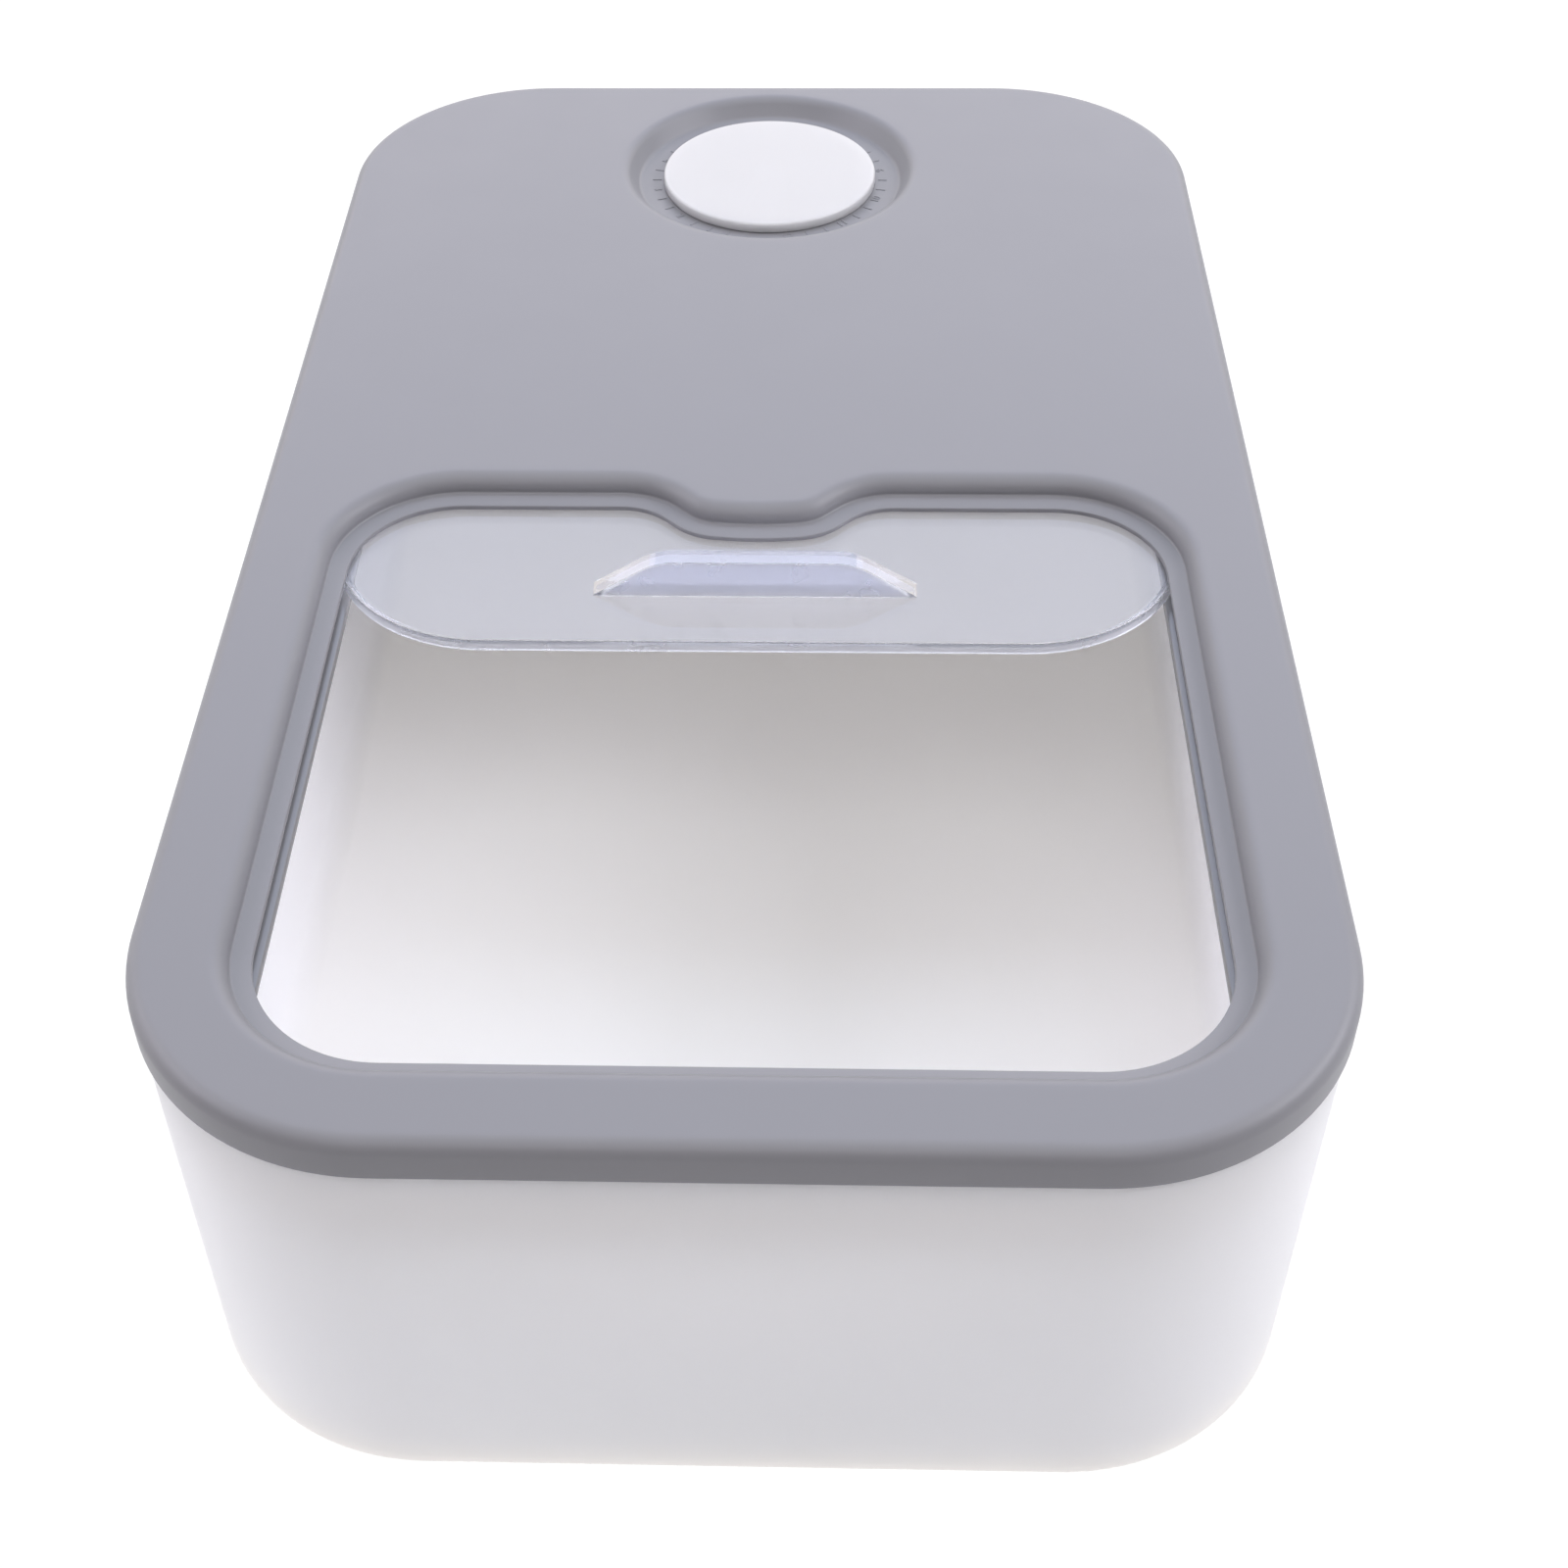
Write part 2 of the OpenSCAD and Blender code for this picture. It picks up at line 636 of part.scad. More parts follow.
module dial_wave_washer() color(steel)
    translate([0, dial_y, washer_z + wave_gap]) difference() {
        cylinder(r = washer_r, h = wave_h);
        translate([0, 0, -1]) cylinder(r = spindle_r + screw_gap, h = wave_h + 2);
    }

module dial_washer() color(steel)
    translate([0, dial_y, washer_z - washer_t]) difference() {
        cylinder(r = washer_r, h = washer_t);
        translate([0, 0, -1]) cylinder(r = screw_r + screw_gap, h = washer_t + 2);
    }

module dial_screw() color(steel)
    translate([0, dial_y, washer_z - washer_t])
        pan_screw(screw_r, screw_head_r, washer_t + dial_screw_l);

tub();
lid_cover();
lid_seal();
guide_rail_left();
guide_rail_right();
rail_screws_left();
rail_screws_right();
window_panel();
finger_bar();
dial_disc();
dial_o_ring();
dial_wave_washer();
dial_washer();
dial_screw();
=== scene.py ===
import math

import bmesh
import bpy
from mathutils import Matrix, Vector


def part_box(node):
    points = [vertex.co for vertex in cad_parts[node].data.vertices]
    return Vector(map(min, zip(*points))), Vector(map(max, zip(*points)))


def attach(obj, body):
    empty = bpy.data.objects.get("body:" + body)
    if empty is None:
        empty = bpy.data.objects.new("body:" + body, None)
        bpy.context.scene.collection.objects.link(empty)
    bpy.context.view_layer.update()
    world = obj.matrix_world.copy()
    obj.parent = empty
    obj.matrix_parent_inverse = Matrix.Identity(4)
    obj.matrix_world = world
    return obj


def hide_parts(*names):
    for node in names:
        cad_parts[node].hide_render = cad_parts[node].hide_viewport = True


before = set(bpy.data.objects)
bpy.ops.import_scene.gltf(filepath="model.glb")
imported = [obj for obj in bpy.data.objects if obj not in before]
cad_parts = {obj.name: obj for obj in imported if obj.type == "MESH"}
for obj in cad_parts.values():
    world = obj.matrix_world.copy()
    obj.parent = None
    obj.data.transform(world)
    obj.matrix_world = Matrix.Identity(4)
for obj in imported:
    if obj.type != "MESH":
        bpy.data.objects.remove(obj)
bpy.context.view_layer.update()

# Rice bin with a sliding window and a date dial. Sizes are in millimetres, in the frame of the
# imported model, and MM turns them into Blender's metres.

MM = 0.001
PHOTO_SIDE = 1600

# Radii of small corners
CRISP_R = 0.2
EASED_R = 0.3
SOFT_R = 0.4


def box_mm(node):
    low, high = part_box(node)
    return low / MM, high / MM


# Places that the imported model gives
lid_high = box_mm("lid_cover")[1]
tub_high = box_mm("tub")[1]
panel_low, panel_high = box_mm("window_panel")
grip_low, grip_high = box_mm("finger_bar")
dial_low, dial_high = box_mm("dial_disc")
rail_low, rail_high = box_mm("guide_rail_right")
seal_low, seal_high = box_mm("lid_seal")

bin_h = lid_high.z
half_w = lid_high.x
half_l = lid_high.y
dial_y = (dial_low.y + dial_high.y) / 2
dial_r = dial_high.x

# Lid
LID_CORNER_R = 49.0
LID_SKIN = 2.2
LID_EDGE_R = 3.0
SKIRT_H = 8.7
SKIRT_T = 1.8
SKIRT_EDGE_R = 0.5
SEAL_RIB_IN = 4.2
SEAL_RIB_T = 1.2
FLAT_STRIP = 0.6
LID_GAP = 0.3
lid_under_z = bin_h - LID_SKIN
skirt_z = bin_h - SKIRT_H
lid_room_in = SEAL_RIB_IN + SEAL_RIB_T

# Mouth
MOUTH_SIDE = 22.0
MOUTH_SETBACK = 22.0
MOUTH_L = 160.5
MOUTH_FRONT_R = 26.0
MOUTH_REAR_R = 23.0
MOUTH_DEPTH = 4.0
LEDGE_W = 3.9
MOUTH_ROLL_R = 3.5
CREASE_R = 0.5
RIM_T = 1.9
LIP_R = 0.3
LEDGE_DROP = 0.8
NOTCH_DEPTH = 11.3
NOTCH_BEND_R = 14.0
NOTCH_CROWN_R = 70.0
NOTCH_CROWN_ANGLE = 8.0
NOTCH_FLANK_ANGLE = 45.0
mouth_w = 2 * (half_w - MOUTH_SIDE)
mouth_front_y = MOUTH_SETBACK - half_l
mouth_rear_y = mouth_front_y + MOUTH_L
mouth_out = LEDGE_W + MOUTH_ROLL_R
ledge_z = bin_h - MOUTH_DEPTH
rim_z = ledge_z - RIM_T

# Well of the dial
WELL_DEPTH = 4.8
WELL_FLOOR_T = 1.0
WELL_WALL_T = 2.0
WELL_RING_W = 6.5
WELL_WALL_LEAN = 3.2
WELL_FILLET_R = 1.6
WELL_ROLL_R = 3.4
POCKET_R = 6.2
BEARING_R = 8.0
BORE_R = 4.05
POCKET_DEPTH = 1.0
BEARING_L = 5.2
SPINDLE_R = 4.0
SCREW_HOLE_R = 1.45
SCREW_HOLE_L = 6.05
well_z = bin_h - WELL_DEPTH
well_under_z = well_z - WELL_FLOOR_T
well_floor_r = dial_r + WELL_RING_W
well_wall_r = well_floor_r + WELL_WALL_LEAN
well_top_r = well_wall_r + WELL_ROLL_R
pocket_z = well_z - POCKET_DEPTH
bearing_z = pocket_z - BEARING_L

# Tub
FOOT_R = 1.2
FOOT_RING_W = 5.0
FOOT_RECESS = 0.8
FLOOR_T = 2.6
FLOOR_FILLET_R = 6.0
FLOOR_STRIP = 1.0
WALL_T = 2.4
SHOULDER_STEP = 0.8
DRAFT_INSET = 1.2
NECK_IN = 2.1
NECK_T = 1.5
shoulder_z = skirt_z - LID_GAP
neck_z = tub_high.z
floor_z = FOOT_RECESS + FLOOR_T
foot_in = SHOULDER_STEP + DRAFT_INSET
foot_ring_in = foot_in + FOOT_R + FOOT_RING_W


# Outlines. A [length, 0] is a straight and a [radius, turn] is an arc, and a positive turn goes
# left. An outline is walked counter-clockwise from the front of its right side.

ARC_STEP = 3.0
EDGE_STEP = 11.25
SAME_PLACE = 1e-4


def right_of(heading):
    angle = math.radians(heading)
    return Vector((math.sin(angle), -math.cos(angle)))


def trace(path, out, start, step=ARC_STEP):
    """Points of a closed outline, moved out by `out`."""
    points = []
    place = Vector(start)
    heading = 90.0
    for size, turn in path:
        if turn == 0:
            points.append(place + out * right_of(heading))
            place = place + size * right_of(heading + 90)
            continue
        radius = math.copysign(size, turn)
        centre = place - radius * right_of(heading)
        count = math.ceil(abs(turn) / step)
        for k in range(count):
            points.append(centre + (radius + out) * right_of(heading + turn * k / count))
        heading += turn
        place = centre + radius * right_of(heading)
    return points


def rounded_box(width, length, front_r, rear_r):
    side = [length - front_r - rear_r, 0]
    return [
        side, [rear_r, 90], [width - 2 * rear_r, 0], [rear_r, 90],
        side, [front_r, 90], [width - 2 * front_r, 0], [front_r, 90],
    ]


def mouth_path():
    flank = math.radians(NOTCH_FLANK_ANGLE)
    crown = math.radians(NOTCH_CROWN_ANGLE)
    turn = NOTCH_FLANK_ANGLE - NOTCH_CROWN_ANGLE
    bends = NOTCH_BEND_R * (1 + math.cos(crown) - 2 * math.cos(flank))
    middle = NOTCH_CROWN_R * (1 - math.cos(crown))
    flank_l = (NOTCH_DEPTH - bends - middle) / math.sin(flank)
    half = NOTCH_BEND_R * (2 * math.sin(flank) - math.sin(crown))
    half += flank_l * math.cos(flank) + NOTCH_CROWN_R * math.sin(crown)
    straight = [mouth_w / 2 - MOUTH_REAR_R - half, 0]
    side = [MOUTH_L - MOUTH_FRONT_R - MOUTH_REAR_R, 0]
    into_notch = [[NOTCH_BEND_R, NOTCH_FLANK_ANGLE], [flank_l, 0], [NOTCH_BEND_R, -turn]]
    return [
        side, [MOUTH_REAR_R, 90], straight, *into_notch,
        [NOTCH_CROWN_R, -2 * NOTCH_CROWN_ANGLE],
        *reversed(into_notch), straight, [MOUTH_REAR_R, 90],
        side, [MOUTH_FRONT_R, 90], [mouth_w - 2 * MOUTH_FRONT_R, 0], [MOUTH_FRONT_R, 90],
    ]


LID_PATH = rounded_box(2 * half_w, 2 * half_l, LID_CORNER_R, LID_CORNER_R)
LID_START = (half_w, LID_CORNER_R - half_l)
MOUTH_PATH = mouth_path()
MOUTH_START = (mouth_w / 2, mouth_front_y + MOUTH_FRONT_R)


def rounded(corners, step=EDGE_STEP):
    """A section from corners (x, z, radius), with an arc at each corner that has a radius."""
    points = []
    for i, (x, z, radius) in enumerate(corners):
        corner = Vector((x, z))
        if radius == 0:
            points.append(corner)
            continue
        before = Vector(corners[i - 1][:2]) - corner
        after = Vector(corners[(i + 1) % len(corners)][:2]) - corner
        before.normalize()
        after.normalize()
        half = before.angle(after) / 2
        centre = corner + (before + after).normalized() * radius / math.sin(half)
        first = corner + before * radius / math.tan(half) - centre
        last = corner + after * radius / math.tan(half) - centre
        sweep = first.angle_signed(last)
        count = max(2, math.ceil(math.degrees(abs(sweep)) / step))
        for k in range(count + 1):
            points.append(centre + Matrix.Rotation(-sweep * k / count, 2) @ first)
    return [p for i, p in enumerate(points) if i == 0 or (p - points[i - 1]).length > SAME_PLACE]


# Mesh building

ROUND_SIDES = 144
SHARP_ANGLE = 30.0


def add_rings(bm, rings, closed=False):
    """Joins rings of points with quads and gives the vertices of each ring."""
    made = [[bm.verts.new(Vector(point) * MM) for point in ring] for ring in rings]
    nexts = made[1:] + (made[:1] if closed else [])
    for near, far in zip(made, nexts):
        for i, vertex in enumerate(near):
            j = (i + 1) % len(near)
            bm.faces.new((vertex, near[j], far[j], far[i]))
    return made


def sweep(bm, path, start, section, closed=False):
    rings = [[(p.x, p.y, z) for p in trace(path, out, start)] for out, z in section]
    return add_rings(bm, rings, closed)


def revolve(bm, section, centre=(0, 0), count=ROUND_SIDES, closed=False):
    turns = [2 * math.pi * i / count for i in range(count)]
    rings = [
        [(centre[0] + r * math.cos(a), centre[1] + r * math.sin(a), z) for a in turns]
        for r, z in section
    ]
    return add_rings(bm, rings, closed)


def fill(bm, *rings):
    """Flat sheet inside the first ring and around the others."""
    edges = []
    for ring in rings:
        pairs = zip(ring, ring[1:] + ring[:1])
        edges += [bm.edges.get(pair) or bm.edges.new(pair) for pair in pairs]
    bmesh.ops.triangle_fill(bm, use_beauty=True, edges=edges)


def add_box(bm, low, high):
    size = Vector(high) - Vector(low)
    middle = (Vector(high) + Vector(low)) / 2
    place = Matrix.Translation(middle * MM) @ Matrix.Diagonal((*(size * MM), 1))
    return bmesh.ops.create_cube(bm, size=1, matrix=place)["verts"]


def finish_piece(bm, name, body, material, nodes, bevel=0.0):
    """Turns a bmesh into a shaded object that rides on a body and stands for CAD nodes."""
    bmesh.ops.remove_doubles(bm, verts=bm.verts, dist=SAME_PLACE * MM)
    bmesh.ops.recalc_face_normals(bm, faces=bm.faces)
    for face in bm.faces:
        face.smooth = True
    sharp = math.radians(SHARP_ANGLE)
    for edge in bm.edges:
        folded = len(edge.link_faces) == 2 and edge.calc_face_angle() > sharp
        edge.smooth = not folded
    mesh = bpy.data.meshes.new(name)
    bm.to_mesh(mesh)
    bm.free()
    piece = bpy.data.objects.new(name, mesh)
    bpy.context.scene.collection.objects.link(piece)
    mesh.materials.append(material)
    if bevel:
        edges = piece.modifiers.new("soft_edges", "BEVEL")
        edges.width = bevel * MM
        edges.segments = 2
        edges.limit_method = "ANGLE"
        edges.angle_limit = sharp
        edges.harden_normals = True
    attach(piece, body)
    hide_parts(*nodes)
    return piece


# Materials

def srgb(red, green, blue):
    """Linear colour from levels of 0 to 255 on the sRGB curve."""
    def linear(value):
        value /= 255
        return value / 12.92 if value <= 0.04045 else ((value + 0.055) / 1.055) ** 2.4
    return (linear(red), linear(green), linear(blue), 1.0)


class Shader:
    """A material and short calls that add and link its nodes."""

    def __init__(self, name):
        self.material = bpy.data.materials.new(name)
        self.material.use_nodes = True
        self.tree = self.material.node_tree
        self.tree.nodes.clear()
        self.output = self.add("ShaderNodeOutputMaterial")

    def add(self, kind, **values):
        node = self.tree.nodes.new(kind)
        for key, value in values.items():
            if key in node.inputs:
                node.inputs[key].default_value = value
            else:
                setattr(node, key, value)
        return node

    def link(self, source, target):
        self.tree.links.new(source, target)

    def noise(self, scale, detail=2.0):
        place = self.add("ShaderNodeTexCoord")
        noise = self.add("ShaderNodeTexNoise")
        noise.inputs["Scale"].default_value = scale
        noise.inputs["Detail"].default_value = detail
        self.link(place.outputs["Object"], noise.inputs["Vector"])
        return noise.outputs["Fac"]

    def between(self, factor, low, high):
        spread = self.add("ShaderNodeMapRange")
        spread.inputs["To Min"].default_value = low
        spread.inputs["To Max"].default_value = high
        self.link(factor, spread.inputs["Value"])
        return spread.outputs["Result"]


# Noise scales are per metre, and heights are in metres
CLOUD_SCALE = 18.0
PATCH_SCALE = 60.0
PATCH_SPREAD = 0.04
GRAIN_SCALE = 2500.0
GRAIN_STRENGTH = 0.02
GRAIN_H = 0.0002
SHEET_SCALE = 90.0
SHEET_SPREAD = 0.5
STEEL_SCALE = 900.0
STEEL_COLOUR = (178, 180, 184)
STEEL_ROUGHNESS = (0.22, 0.42)
PLASTIC_IOR = 1.49
FINE_DETAIL = 4.0
SOME_DETAIL = 3.0


def moulded_plastic(name, colour, roughness, shade=0.03, gloss=0.5, glow=0.0, glow_reach=0.004):
    """Moulded plastic: a faint cloudiness in colour and roughness, and a fine grain.
    `glow` is how milky it is, up to 1."""
    shader = Shader(name)
    body = shader.add("ShaderNodeBsdfPrincipled")
    cloud = shader.noise(CLOUD_SCALE, SOME_DETAIL)
    mix = shader.add("ShaderNodeMix", data_type="RGBA")
    mix.inputs["A"].default_value = [c * (1 - shade) for c in colour[:3]] + [1.0]
    mix.inputs["B"].default_value = [min(1.0, c * (1 + shade)) for c in colour[:3]] + [1.0]
    shader.link(cloud, mix.inputs["Factor"])
    shader.link(mix.outputs["Result"], body.inputs["Base Color"])
    patches = shader.noise(PATCH_SCALE, FINE_DETAIL)
    shader.link(
        shader.between(patches, roughness - PATCH_SPREAD, roughness + PATCH_SPREAD),
        body.inputs["Roughness"],
    )
    bump = shader.add("ShaderNodeBump")
    bump.inputs["Strength"].default_value = GRAIN_STRENGTH
    bump.inputs["Distance"].default_value = GRAIN_H
    shader.link(shader.noise(GRAIN_SCALE), bump.inputs["Height"])
    shader.link(bump.outputs["Normal"], body.inputs["Normal"])
    body.inputs["Specular IOR Level"].default_value = gloss
    body.inputs["Subsurface Weight"].default_value = glow
    body.inputs["Subsurface Radius"].default_value = (1.0, 1.0, 1.0)
    body.inputs["Subsurface Scale"].default_value = glow_reach
    shader.link(body.outputs["BSDF"], shader.output.inputs["Surface"])
    return shader.material


def clear_moulding(name, tint, roughness, clarity):
    """Clear moulded plastic that lets the lamps through. The rest of `clarity` is haze."""
    shader = Shader(name)
    body = shader.add("ShaderNodeBsdfPrincipled")
    body.inputs["Base Color"].default_value = tint
    body.inputs["Transmission Weight"].default_value = clarity
    body.inputs["IOR"].default_value = PLASTIC_IOR
    haze = shader.noise(SHEET_SCALE, SOME_DETAIL)
    low, high = roughness * (1 - SHEET_SPREAD), roughness * (1 + SHEET_SPREAD)
    shader.link(shader.between(haze, low, high), body.inputs["Roughness"])
    open_to_lamps = shader.add("ShaderNodeBsdfTransparent")
    rays = shader.add("ShaderNodeLightPath")
    mix = shader.add("ShaderNodeMixShader")
    shader.link(rays.outputs["Is Shadow Ray"], mix.inputs["Fac"])
    shader.link(body.outputs["BSDF"], mix.inputs[1])
    shader.link(open_to_lamps.outputs["BSDF"], mix.inputs[2])
    shader.link(mix.outputs["Shader"], shader.output.inputs["Surface"])
    return shader.material


def brushed_steel(name):
    shader = Shader(name)
    body = shader.add("ShaderNodeBsdfPrincipled")
    body.inputs["Base Color"].default_value = srgb(*STEEL_COLOUR)
    body.inputs["Metallic"].default_value = 1.0
    streaks = shader.noise(STEEL_SCALE, FINE_DETAIL)
    shader.link(shader.between(streaks, *STEEL_ROUGHNESS), body.inputs["Roughness"])
    shader.link(body.outputs["BSDF"], shader.output.inputs["Surface"])
    return shader.material


tub_plastic = moulded_plastic(
    "tub_plastic", srgb(252, 252, 253), roughness=0.34, shade=0.006, gloss=1.0,
    glow=1.0, glow_reach=0.010,
)
lid_plastic = moulded_plastic(
    "lid_plastic", srgb(142, 142, 146), roughness=0.42, shade=0.015, gloss=0.35
)
rail_plastic = moulded_plastic(
    "rail_plastic", srgb(132, 132, 134), roughness=0.2, shade=0.015, gloss=1.0
)
dial_plastic = moulded_plastic(
    "dial_plastic", srgb(206, 206, 206), roughness=0.36, shade=0.006, gloss=0.8,
    glow=1.0, glow_reach=0.005,
)
clear_plastic = clear_moulding("clear_plastic", (0.94, 0.955, 1.0, 1.0), roughness=0.02, clarity=0.92)
clear_edge = clear_moulding("clear_edge", (0.90, 0.92, 1.0, 1.0), roughness=0.3, clarity=0.82)
seal_rubber = moulded_plastic("seal_rubber", srgb(226, 226, 222), roughness=0.55)
steel = brushed_steel("steel")


# Tub

def make_tub():
    bm = bmesh.new()
    neck_inner_in = NECK_IN + NECK_T
    floor_inset = foot_ring_in + FLOOR_STRIP
    section = rounded([
        (-floor_inset, FOOT_RECESS, 0),
        (-foot_ring_in, FOOT_RECESS, SOFT_R), (-foot_ring_in, 0, EASED_R),
        (-foot_in, 0, FOOT_R),
        (-SHOULDER_STEP, shoulder_z, EASED_R), (-NECK_IN, shoulder_z, EASED_R),
        (-NECK_IN, neck_z, SOFT_R), (-neck_inner_in, neck_z, SOFT_R),
        (-neck_inner_in, shoulder_z, 0),
        (-foot_in - WALL_T, floor_z, FLOOR_FILLET_R),
        (-floor_inset - FLOOR_FILLET_R, floor_z, 0),
    ])
    rings = sweep(bm, LID_PATH, LID_START, section)
    fill(bm, rings[0])
    fill(bm, rings[-1])
    return finish_piece(bm, "tub_shell", "tub", tub_plastic, ["tub"])


# Lid

TICK_L = 2.4
TICK_W = 0.5
TICK_H = 0.15
TICK_IN = 3.4
NUMBER_COUNT = 12
TICKS_BETWEEN = 2
NUMERAL_H = 2.3
TYPE_SIZE = 1.35
MARK_ROOT = 0.2
FRONT_ANGLE = -90.0
mark_step = 360 / (NUMBER_COUNT * (TICKS_BETWEEN + 1))


def mark_place(angle, radius):
    """Stands a mark on the floor of the well with its foot outwards."""
    turn = Matrix.Rotation(math.radians(angle), 4, "Z")
    out = Matrix.Translation(Vector((radius, 0, 0)) * MM)
    upright = Matrix.Rotation(math.radians(90), 4, "Z")
    return Matrix.Translation(Vector((0, dial_y, well_z)) * MM) @ turn @ out @ upright


def add_numeral(bm, number, place):
    curve = bpy.data.curves.new("numeral", "FONT")
    curve.body = str(number)
    curve.size = NUMERAL_H * TYPE_SIZE * MM
    curve.align_x = "CENTER"
    curve.align_y = "CENTER"
    curve.extrude = (TICK_H + MARK_ROOT) / 2 * MM
    text = bpy.data.objects.new("numeral", curve)
    mesh = bpy.data.meshes.new_from_object(text)
    lift = Matrix.Translation(Vector((0, 0, (TICK_H - MARK_ROOT) / 2)) * MM)
    mesh.transform(place @ lift)
    bm.from_mesh(mesh)
    bpy.data.meshes.remove(mesh)
    bpy.data.objects.remove(text)
    bpy.data.curves.remove(curve)


def add_marks(bm):
    radius = well_floor_r - TICK_IN - TICK_L / 2
    for i in range(NUMBER_COUNT):
        number_angle = FRONT_ANGLE + mark_step * (1 - (TICKS_BETWEEN + 1) * i)
        number = (i - 1) % NUMBER_COUNT + 1
        add_numeral(bm, number, mark_place(number_angle, radius))
        for k in range(1, TICKS_BETWEEN + 1):
            place = mark_place(number_angle - mark_step * k, radius)
            low = (-TICK_W / 2, -TICK_L / 2, -MARK_ROOT)
            tick = add_box(bm, low, (TICK_W / 2, TICK_L / 2, TICK_H))
            bmesh.ops.transform(bm, matrix=place, verts=tick)


RIB_T = 1.8
RIB_ROOT = 0.4
HOLD_RIB_IN = 22.0
PANEL_GAP = 0.3
PANEL_REACH = 4.5
BOSS_R = 3.2
BOSS_SIDES = 32
HOLE_END_GAP = 1.0
screw_boxes = box_mm("rail_screws_right")
SCREW_COUNT = 4
SCREW_HEAD_R = 2.8
boss_x = (screw_boxes[0].x + screw_boxes[1].x) / 2
screw_first_y = screw_boxes[0].y + SCREW_HEAD_R
screw_last_y = screw_boxes[1].y - SCREW_HEAD_R
screw_ys = [
    screw_first_y + i * (screw_last_y - screw_first_y) / (SCREW_COUNT - 1)
    for i in range(SCREW_COUNT)
]


def add_ribs(bm):
    """Hold-down ribs over the panel, the stop rib at its front, and the screw bosses."""
    hold_front_y = mouth_rear_y + mouth_out + RIB_T
    hold_rear_y = dial_y - well_top_r
    boss_z = rail_high.z - RIB_T * 2
    hole_top_z = lid_under_z - HOLE_END_GAP
    for side in (-1, 1):
        x = side * (panel_high.x - HOLD_RIB_IN)
        low = (x - RIB_T / 2, hold_front_y, rim_z)
        add_box(bm, low, (x + RIB_T / 2, hold_rear_y, lid_under_z + RIB_ROOT))
        for y in screw_ys:
            section = rounded([
                (BOSS_R, lid_under_z + RIB_ROOT, 0), (BOSS_R, boss_z, EASED_R),
                (SCREW_HOLE_R, boss_z, CRISP_R), (SCREW_HOLE_R, hole_top_z, 0),
            ])
            rings = revolve(bm, section, (side * boss_x, y), BOSS_SIDES)
            fill(bm, rings[0])
            fill(bm, rings[-1])
    stop_half_w = panel_high.x - PANEL_FRONT_R - RIB_T
    closed_front_y = mouth_front_y - PANEL_REACH - PANEL_GAP
    low = (-stop_half_w, closed_front_y - RIB_T, panel_low.z)
    add_box(bm, low, (stop_half_w, closed_front_y, rim_z + RIB_ROOT))


def make_lid():
    bm = bmesh.new()
    rib_z = neck_z + LID_GAP
    edge = rounded([
        (-LID_EDGE_R - FLAT_STRIP, bin_h, 0), (0, bin_h, LID_EDGE_R),
        (0, skirt_z, SKIRT_EDGE_R),
        (-SKIRT_T, skirt_z, SOFT_R), (-SKIRT_T, lid_under_z, EASED_R),
        (-SEAL_RIB_IN, lid_under_z, 0), (-SEAL_RIB_IN, rib_z, CRISP_R),
        (-lid_room_in, rib_z, CRISP_R), (-lid_room_in, lid_under_z, 0),
    ])
    border = rounded([
        (mouth_out + FLAT_STRIP, bin_h, 0), (LEDGE_W, bin_h, MOUTH_ROLL_R),
        (LEDGE_W, ledge_z, CREASE_R), (0, ledge_z - LEDGE_DROP, LIP_R), (0, rim_z, CRISP_R),
        (LEDGE_W + RIM_T, rim_z, 0), (LEDGE_W + RIM_T, bin_h - MOUTH_ROLL_R, 0),
        (mouth_out, lid_under_z, 0),
    ])
    well = rounded([
        (well_top_r + FLAT_STRIP, bin_h, 0), (well_wall_r, bin_h, WELL_ROLL_R),
        (well_floor_r, well_z, WELL_FILLET_R), (POCKET_R, well_z, CRISP_R),
        (POCKET_R, pocket_z, 0), (BORE_R, pocket_z, 0), (BORE_R, bearing_z, CRISP_R),
        (BEARING_R, bearing_z, SOFT_R), (BEARING_R, well_under_z, SOFT_R),
        (well_wall_r + WELL_WALL_T, well_under_z, 2 * SOFT_R),
        (well_wall_r + WELL_WALL_T, lid_under_z, 0),
    ])
    edge_rings = sweep(bm, LID_PATH, LID_START, edge)
    mouth_rings = sweep(bm, MOUTH_PATH, MOUTH_START, border)
    well_rings = revolve(bm, well, (0, dial_y))
    fill(bm, edge_rings[0], mouth_rings[0], well_rings[0])
    fill(bm, edge_rings[-1], mouth_rings[-1], well_rings[-1])
    add_marks(bm)
    add_ribs(bm)
    return finish_piece(bm, "lid_shell", "lid", lid_plastic, ["lid_cover"])


# Window panel with its finger bar, a hollow arch that is open below

PANEL_FRONT_R = 35.0
PANEL_REAR_R = 6.0
PANEL_LIP_W = 1.6
PANEL_STRIP = 1.0
PANEL_EDGE_R = 0.5
PANEL_EDGE_STEP = 22.5
PANEL_BEVEL = 0.12
PANEL_POCKET = 1.0
BAR_TOP_L = 33.0
BAR_SHOULDER_R = 15.0
BAR_RAMP_ANGLE = 34.0
BAR_WALL_T = 1.0
BAR_BEND_STEPS = 8
BAR_TIP_H = 0.05
# A face whose normal rises less than this counts as an edge of the panel
STEEP = 0.4


def lean_right(angle):
    """The upright unit vector, turned to the right by `angle`."""
    return Vector((math.sin(angle), math.cos(angle)))


